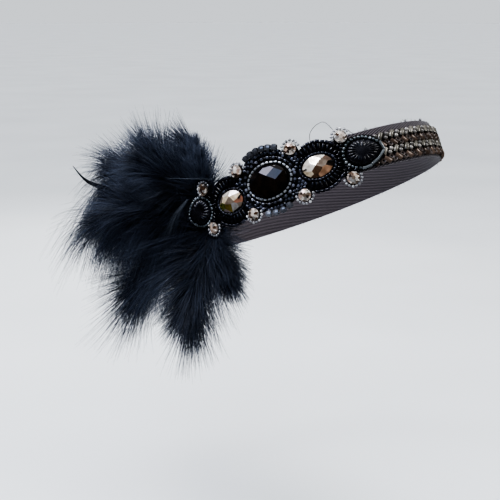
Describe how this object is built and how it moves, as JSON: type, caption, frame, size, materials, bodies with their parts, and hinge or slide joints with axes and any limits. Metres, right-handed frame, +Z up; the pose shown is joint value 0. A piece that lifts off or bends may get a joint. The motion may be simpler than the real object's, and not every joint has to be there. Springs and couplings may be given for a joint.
{
  "type": "flapper headband",
  "caption": "Beaded ribbon headband with a felt-backed motif of oval and pear stones over one temple and a fan of dark soft feathers behind it.",
  "frame": {"origin": "middle of the ribbon loop, where the wearer's head goes through, half way up the ribbon", "axes": "+Z up as worn, -Y out of the wearer's forehead, -X towards the wearer's right temple, where the motif and the feathers are"},
  "size_m": [0.1852, 0.2059, 0.157],
  "materials": {
    "ribbon": "charcoal woven ribbon with a slightly frayed edge",
    "trim_beads": "metal-lined bugle and seed beads in silver, beige and bronze, in a herringbone",
    "felt": "black felt",
    "black_glass": "polished jet-black cut glass",
    "champagne_crystal": "foil-backed champagne crystal with cut facets",
    "silver_seed": "silver-lined seed beads",
    "gunmetal_bead": "gunmetal-coated faceted and cut beads",
    "rhinestone": "foiled rhinestone in a bright metal cup",
    "feather": "soft blue-black down feathers"
  },
  "bodies": {
    "root": {"ribbon_band": "ribbon", "beaded_trim": "trim_beads", "felt_backing": "felt", "stone_centre": "black_glass", "seed_ring_centre": "silver_seed", "outer_ring_centre": "gunmetal_bead", "crystal_front": "champagne_crystal", "bezel_ring_front": "gunmetal_bead", "bugle_fan_front": "black_glass", "edge_string_upper_front": "gunmetal_bead", "edge_string_lower_front": "gunmetal_bead", "crystal_back": "champagne_crystal", "bezel_ring_back": "gunmetal_bead", "bugle_fan_back": "black_glass", "edge_string_upper_back": "gunmetal_bead", "edge_string_lower_back": "gunmetal_bead", "pear_front": "black_glass", "seed_ring_pear_front": "silver_seed", "pear_back": "black_glass", "seed_ring_pear_back": "silver_seed", "rondelles_upper": "gunmetal_bead", "rondelles_lower": "gunmetal_bead", "rhinestone_1": "rhinestone", "rhinestone_2": "rhinestone", "rhinestone_3": "rhinestone", "rhinestone_4": "rhinestone", "rhinestone_5": "rhinestone", "rhinestone_6": "rhinestone", "rhinestone_7": "rhinestone", "rhinestone_8": "rhinestone", "seed_fan_1": "silver_seed", "seed_fan_2": "silver_seed", "seed_fan_3": "silver_seed", "seed_fan_4": "silver_seed", "seed_fan_5": "silver_seed", "seed_fan_6": "silver_seed", "seed_fan_7": "silver_seed", "seed_fan_8": "silver_seed", "feather_top": "feather", "feather_upper": "feather", "feather_upper_back": "feather", "feather_back": "feather", "feather_low_back": "feather", "feather_low": "feather", "feather_tuft": "feather"}
  },
  "joints": []
}
